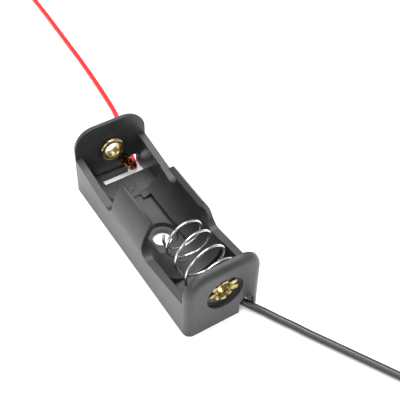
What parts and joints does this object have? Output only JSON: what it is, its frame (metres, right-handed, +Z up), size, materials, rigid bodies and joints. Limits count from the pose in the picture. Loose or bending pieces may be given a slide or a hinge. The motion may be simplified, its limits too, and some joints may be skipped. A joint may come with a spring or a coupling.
{
  "type": "cylindrical cell holder",
  "caption": "Open holder for one small cylindrical cell, with two holding tongues, a coil spring contact, a hollow eyelet contact, a screw hole and two wire leads.",
  "frame": {"origin": "middle of the flat underside of the housing", "axes": "+X along the cell, towards the eyelet contact and the red lead; +Y across the holder, away from the lead notches; +Z up, out of the open top"},
  "size_m": [0.1438, 0.0295, 0.0126],
  "materials": {
    "black_plastic": "satin moulded",
    "nickel_wire": "bright nickel plate",
    "eyelet_brass": "rolled brass",
    "strip_brass": "tarnished strip",
    "black_jacket": "smooth lead insulation",
    "red_jacket": "smooth lead insulation",
    "tinned_core": "tinned strands"
  },
  "bodies": {
    "holder": {"housing": "black_plastic", "negative_eyelet": "eyelet_brass", "negative_terminal": "strip_brass", "positive_eyelet": "eyelet_brass", "positive_terminal": "strip_brass", "black_lead": "black_jacket", "black_lead_coil": "black_jacket", "black_lead_tip": "tinned_core", "red_lead": "red_jacket", "red_lead_coil": "red_jacket", "red_lead_tip": "tinned_core"},
    "spring": {"contact_spring": "nickel_wire"}
  },
  "joints": [
    {"name": "spring_press", "type": "slide", "parent": "holder", "child": "spring", "axis": [-1, 0, 0], "range_m": [0, 0.0073], "stiffness_N_per_m": 250, "deforming": ["contact_spring"]}
  ]
}
